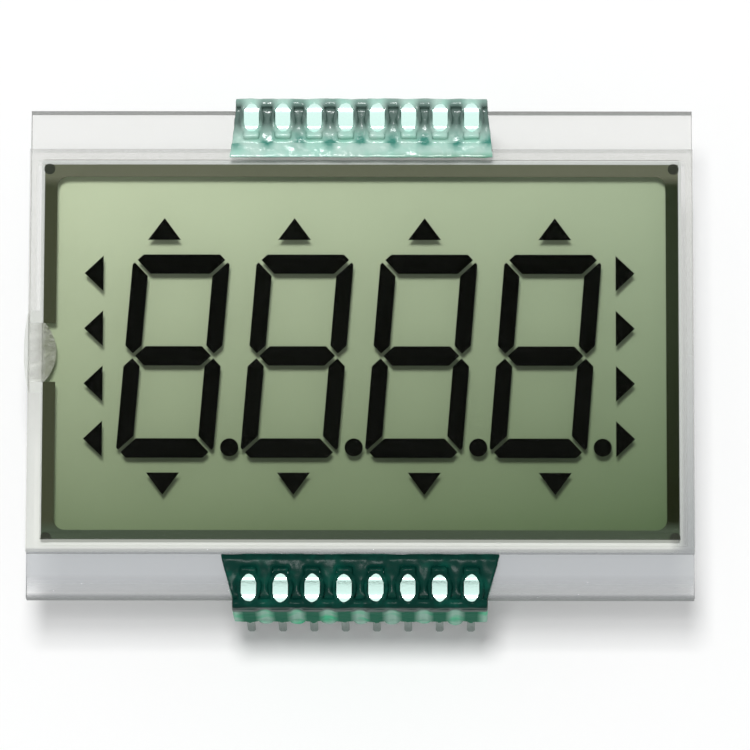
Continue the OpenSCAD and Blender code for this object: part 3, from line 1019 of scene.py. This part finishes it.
@dataclass
class GlueBead:
    """The glue over one row of pins, with an oval opening over each tongue. Sizes are in millimetres."""

    line: PinLine
    pins: int
    opening_centre: float = -0.57
    opening_reach: float = 1.02
    opening_half_w: float = 0.64
    opening_drift: float = 0.05
    squareness: float = 0.94
    bead_r: float = 0.17
    sink: float = 0.08
    toe_half_w: float = 0.5
    toe_out: float = -1.68
    toe_lift: float = 0.42
    toe_r: float = 0.24
    rim_out: float = 0.43
    rim_rise: float = 0.35
    rim_r: float = 0.32
    rim_drift: tuple[float, float] = (0.05, 0.03)
    rim_steps: int = 8
    drip_out: float = 0.5
    drip_top: float = -4.2
    drip_ends: tuple[float, float] = (-6.4, -5.9)
    drip_drift: float = 0.5
    drip_half_w: tuple[float, float] = (0.32, 0.62)
    drip_half_d: float = 0.27
    drip_taper: Sequence[float] = (1.0, 1.0, 0.96, 0.88, 0.7, 0.35)
    half_strip: float = 0.125
    crown_rise: float = 0.75
    dip_out: float = -1.15
    dip_rise: float = 0.28
    toe_rise: float = 0.5
    steps: int = 36
    voxel: float = 0.085
    rounds: int = 4
    waves: Sequence[tuple[float, float]] = ((1.1, 0.05), (0.4, 0.02))

    def tongue_rise(self, out: float) -> float:
        """Height of a tongue's face above the ledge.

        Args:
            out: Distance out from the glass edge.

        Returns:
            The height.
        """
        if out > 0:
            round_r = self.crown_rise - self.half_strip
            return self.half_strip + math.sqrt(max(round_r**2 - out**2, 0.0))
        if out > self.dip_out:
            return self.crown_rise + (self.dip_rise - self.crown_rise) * out / self.dip_out
        return self.dip_rise + (self.dip_out - out) * self.toe_rise

    def place(self, x: float, out: float, rise: float) -> Vector:
        """A point given along the row, out from the glass edge and above the ledge."""
        y = self.line.edge_y + self.line.outward * out
        return Vector((x, y, self.line.ledge_z + rise)) * MM

    def openings(self, mesh: GlueMesh) -> None:
        """Lay an oval bead round the face of each tongue.

        Args:
            mesh: The glue that they are added to.
        """
        for x in self.line.xs(self.pins):
            path, radii = [], []
            for step in range(self.steps):
                angle = math.tau * step / self.steps
                across = math.copysign(abs(math.cos(angle)) ** self.squareness, math.cos(angle))
                along = math.copysign(abs(math.sin(angle)) ** self.squareness, math.sin(angle))
                out = self.opening_centre + self.opening_reach * along
                drift = noise.noise(Vector((x, step * 0.35, self.line.outward))) * self.opening_drift
                rise = self.tongue_rise(out) - self.sink
                path.append(self.place(x + self.opening_half_w * across, out, rise))
                radii.append((self.bead_r + drift) * MM)
            mesh.bead(path, radii, closed=True)

    def toes(self, mesh: GlueMesh) -> None:
        """Bury the raised toes of the tongues.

        Args:
            mesh: The glue that they are added to.
        """
        for x in self.line.xs(self.pins):
            marks = (x - self.toe_half_w, x, x + self.toe_half_w)
            path = [self.place(mark, self.toe_out, self.toe_lift) for mark in marks]
            mesh.bead(path, [self.toe_r * MM] * len(path))

    def rim(self, mesh: GlueMesh) -> None:
        """Lay a bead over the outer bends of the pins.

        Args:
            mesh: The glue that they are added to.
        """
        start = self.line.first_x - self.line.pitch / 2
        count = self.pins * self.rim_steps
        path, radii = [], []
        for step in range(count + 1):
            x = start + self.line.pitch * step / self.rim_steps
            drift = noise.noise(Vector((x * 0.9, 3.1, self.line.outward)))
            path.append(self.place(x, self.rim_out, self.rim_rise + self.rim_drift[0] * drift))
            radii.append((self.rim_r + self.rim_drift[1] * drift) * MM)
        mesh.bead(path, radii)

    def drips(self, mesh: GlueMesh) -> None:
        """Let the webs hang down between the legs and along them.

        Args:
            mesh: The glue that they are added to.
        """
        last = len(self.drip_taper) - 1
        for step in range(2 * self.pins - 1):
            x = self.line.first_x + self.line.pitch * step / 2
            drift = noise.noise(Vector((x * 1.7, 0.4, 0.0)))
            end = self.drip_ends[1 - step % 2] + self.drip_drift * drift
            half_w = self.drip_half_w[step % 2]
            rises = [self.drip_top + (end - self.drip_top) * part / last for part in range(last + 1)]
            path = [self.place(x, self.drip_out, rise) for rise in rises]
            radii = [half_w * taper * MM for taper in self.drip_taper]
            mesh.bead(path, radii, stretch=(1.0, self.drip_half_d / half_w, 1.0))

    def build(self, node: str, material: bpy.types.Material) -> bpy.types.Object:
        """Build and dress the glue.

        Args:
            node: The CAD node that it stands for.
            material: Its finish.

        Returns:
            The piece.
        """
        mesh = GlueMesh(node)
        self.openings(mesh)
        self.toes(mesh)
        self.rim(mesh)
        self.drips(mesh)
        piece = mesh.melt(node.replace("pin_glue", "glue_coat"), self.voxel, self.rounds)
        mesh.wave(piece, self.waves)
        piece.data.materials.clear()
        piece.data.materials.append(material)
        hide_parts(node)
        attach(piece, BODY)
        LOG.info("built %s with %d faces", piece.name, len(piece.data.polygons))
        return piece


def dress(nodes: Iterable[str], material: bpy.types.Material) -> None:
    """Give CAD nodes a material.

    Args:
        nodes: Names of the nodes.
        material: The material.
    """
    for name in nodes:
        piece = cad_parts[name]
        if not piece.material_slots:
            piece.data.materials.append(material)
        for slot in piece.material_slots:
            slot.material = material
        LOG.info("dressed %s in %s", name, material.name)


def part_faces(nodes: Iterable[str], gap: float) -> None:
    """Draw the faces of nodes back by a hair, so that they share no plane with the glass that they touch.

    Args:
        nodes: Names of the nodes.
        gap: How far, in millimetres.
    """
    for name in nodes:
        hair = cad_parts[name].modifiers.new("hair_gap", "DISPLACE")
        hair.mid_level = 0.0
        hair.strength = -gap * MM


def soften(nodes: Iterable[str], radius: float, segments: int = 2, angle: float = 40.0) -> None:
    """Break the sharp edges of CAD nodes.

    Args:
        nodes: Names of the nodes.
        radius: Radius of the edge, in millimetres.
        segments: Facets of the round.
        angle: How sharply an edge has to turn to be broken, in degrees.
    """
    for name in nodes:
        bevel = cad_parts[name].modifiers.new("broken_edges", "BEVEL")
        bevel.width = radius * MM
        bevel.segments = segments
        bevel.limit_method = "ANGLE"
        bevel.angle_limit = math.radians(angle)
        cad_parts[name].modifiers.new("even_shading", "WEIGHTED_NORMAL")


class PlateSide(Enum):
    """Which long edge of the glass a row of pins is on."""

    LOWER = "lower"
    UPPER = "upper"


@dataclass
class GlassCell:
    """The two plates, the films on them and the sealed cell between them."""

    chamfer: float = 0.05
    hair: float = 0.002

    def build(self) -> None:
        """Dress the plates, the films and the cell."""
        film_half = half_size("front_polarizer")
        seal_half = half_size("perimeter_seal")
        dress(["rear_polarizer"], FieldFinish().material(film_half))
        dress(["reflector"], FoilFinish().material())
        dress(["front_polarizer"], FrontFilm().material())
        # Painted light and shade: the front plate gets a lighter painted strip low down, the rear plate a
        # darker painted shade low down.
        front = PlateGlass(
            "front_plate_glass",
            film_half,
            half_size("front_glass")[1],
            edge_cover=0.3,
            painted_low_tone=srgb(226, 228, 219),
            rim_w=0.22,
            rim_cover=0.42,
        )
        rear = PlateGlass(
            "rear_plate_glass",
            seal_half,
            half_size("rear_glass")[1],
            edge_cover=0.9,
            low_cover=0.56,
            right_low_shade=srgb(198, 201, 203),
        )
        dress(["front_glass"], front.material())
        dress(["rear_glass"], rear.material())
        dress(["perimeter_seal"], SealLine().material(film_half))
        dress(["end_seal"], PlugResin().material())
        fluid = ClearFilm("liquid_crystal", srgb(150, 156, 130), cover=0.002, edge_cover=0.1)
        dress(["liquid_crystal"], fluid.material())
        soften(["front_glass", "rear_glass"], self.chamfer)
        part_faces(["perimeter_seal"], self.hair)
        pass_light(["front_polarizer", "front_glass", "liquid_crystal"])
        pass_light(["rear_glass"], shade=True)


@dataclass
class SegmentPattern:
    """The dark digits and arrows, and the clear films opposite them."""

    digits: int = 4
    sides: Sequence[str] = ("top", "bottom", "left", "right")

    def build(self) -> None:
        """Dress the pattern and its films."""
        numbers = range(1, self.digits + 1)
        dark = [f"digit_{k}" for k in numbers] + [f"arrows_{side}" for side in self.sides]
        dress(dark, DarkSegment().material())
        commons = [f"common_film_{k}" for k in numbers]
        clear = ClearFilm("conducting_film", srgb(150, 160, 132), cover=0.004, edge_cover=0.05)
        dress(commons, clear.material())
        dress([f"transfer_dot_{k}" for k in numbers], SilverPaste().material())
        pass_light(commons)


@dataclass
class PinRow:
    """One row of clip-on pins with its glue."""

    side: PlateSide
    pins: Sequence[str]
    edge_r: float = 0.03

    def build(self, tin: bpy.types.Material, pads: bpy.types.Material) -> None:
        """Dress the pins and their pads, and build the glue.

        Args:
            tin: Finish of the pins.
            pads: Finish of the contact pads.
        """
        line = PinLine.of(self.pins)
        pad_node = f"contact_pads_{self.side.value}"
        dress(self.pins, tin)
        dress([pad_node], pads)
        soften(self.pins, self.edge_r)
        pass_light([pad_node])
        finish = DeepGlue() if self.side is PlateSide.LOWER else PaintedSheenGlue()
        GlueBead(line, len(self.pins)).build(f"pin_glue_{self.side.value}", finish.material(line))


@dataclass(frozen=True)
class Lamp:
    """A round soft lamp that faces the object. It lights, or only gives glossy faces their highlights."""

    name: str
    place: Triple
    size: float
    power: float
    only_highlights: bool

    def hang(self) -> None:
        """Hang it over the object."""
        place = Vector(self.place)
        data = bpy.data.lights.new(self.name, "AREA")
        data.shape = "DISK"
        data.size = self.size
        data.energy = self.power
        lamp = bpy.data.objects.new(self.name, data)
        lamp.location = place
        lamp.visible_glossy = self.only_highlights
        lamp.visible_diffuse = not self.only_highlights
        lamp.rotation_mode = "QUATERNION"
        lamp.rotation_quaternion = (-place).to_track_quat("-Z", "Y")
        bpy.context.scene.collection.objects.link(lamp)


@dataclass
class Studio:
    """Floor, lamps, world and camera."""

    key: Lamp = Lamp("key", (-0.03, 0.07, 0.7), size=0.15, power=3.65, only_highlights=False)
    glint: Lamp = Lamp("glint", (-0.05, 0.0, 0.7), size=0.12, power=2.0, only_highlights=True)
    target: Triple = (0.901, -1.435, 9.15)
    azimuth: float = 2.54
    elevation: float = 78.5
    roll: float = -2.43
    distance: float = 457.7
    lens: float = 347.8
    floor_half: float = 0.9
    floor_colour: Colour = (0.985, 0.985, 0.98)
    floor_glow: float = 0.15
    world_colour: Colour = (0.97, 0.985, 1.0)
    world_level: float = 0.3
    see_through_faces: int = 48

    def build(self) -> None:
        """Set the stage."""
        self.add_floor()
        self.add_world()
        self.key.hang()
        self.glint.hang()
        self.add_camera()
        bpy.context.scene.view_settings.view_transform = "Standard"
        bpy.context.scene.cycles.transparent_max_bounces = self.see_through_faces

    def seen(self, g: Graph) -> Value:
        """A mask of the rays that show the background: from the camera, from gloss and through glass.

        Args:
            g: The graph that it is for.

        Returns:
            1 for those rays and 0 for the others.
        """
        path = g.node("ShaderNodeLightPath").outputs
        glossy = Value(g, path["Is Glossy Ray"])
        through = Value(g, path["Is Transmission Ray"])
        return (Value(g, path["Is Camera Ray"]) + glossy + through).held()

    def add_floor(self) -> None:
        """A wide, pale floor that keeps the object's shadow."""
        half = self.floor_half
        mesh = bpy.data.meshes.new("floor")
        corners = [(-half, -half, 0.0), (half, -half, 0.0), (half, half, 0.0), (-half, half, 0.0)]
        mesh.from_pydata(corners, [], [(0, 1, 2, 3)])
        floor = bpy.data.objects.new("floor", mesh)
        bpy.context.scene.collection.objects.link(floor)
        g = Graph("floor")
        paper = g.principled({"Base Color": self.floor_colour, "Roughness": 0.9, "Specular IOR Level": 0.0})
        glow = g.node("ShaderNodeEmission", inputs={"Color": WHITE, "Strength": 1.0}).outputs[0]
        mesh.materials.append(g.done(g.layered(paper, glow, self.seen(g) * self.floor_glow)))

    def add_world(self) -> None:
        """An even pale world, which looks white and lights a little less."""
        g = Graph("studio", world=True)
        strength = self.world_level + self.seen(g) * (1.0 - self.world_level)
        sky = g.node("ShaderNodeBackground", inputs={"Color": self.world_colour, "Strength": strength})
        bpy.context.scene.world = g.done(sky.outputs[0])

    def add_camera(self) -> None:
        """The camera, at the photograph's angle and distance."""
        around, above = math.radians(self.azimuth), math.radians(self.elevation)
        back = Vector(
            (math.sin(around) * math.cos(above), -math.cos(around) * math.cos(above), math.sin(above))
        )
        right = Vector((0.0, 0.0, 1.0)).cross(back).normalized()
        up = back.cross(right)
        turn = Matrix.Rotation(math.radians(self.roll), 3, back)
        right, up = turn @ right, turn @ up
        data = bpy.data.cameras.new("camera")
        data.lens = self.lens
        data.clip_start = 0.01
        camera = bpy.data.objects.new("camera", data)
        camera.rotation_mode = "QUATERNION"
        camera.rotation_quaternion = Matrix((right, up, back)).transposed().to_quaternion()
        camera.location = Vector(self.target) * MM + back * self.distance * MM
        bpy.context.scene.collection.objects.link(camera)
        bpy.context.scene.camera = camera


def main() -> None:
    """Build the display in order: the cell, its pattern, the pins with their glue and the studio."""
    logging.basicConfig(level=logging.INFO)
    GlassCell().build()
    SegmentPattern().build()
    tin = TinnedStrip().material(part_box("rear_glass")[1].z / MM)
    pads = ClearFilm("contact_pad_film", srgb(170, 180, 150), cover=0.1, edge_cover=0.2).material()
    pins = sorted(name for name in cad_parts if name.removeprefix("pin_").isdigit())
    half = len(pins) // 2
    PinRow(PlateSide.LOWER, pins[:half]).build(tin, pads)
    PinRow(PlateSide.UPPER, pins[half:]).build(tin, pads)
    Studio().build()


if __name__ == "__main__":
    main()
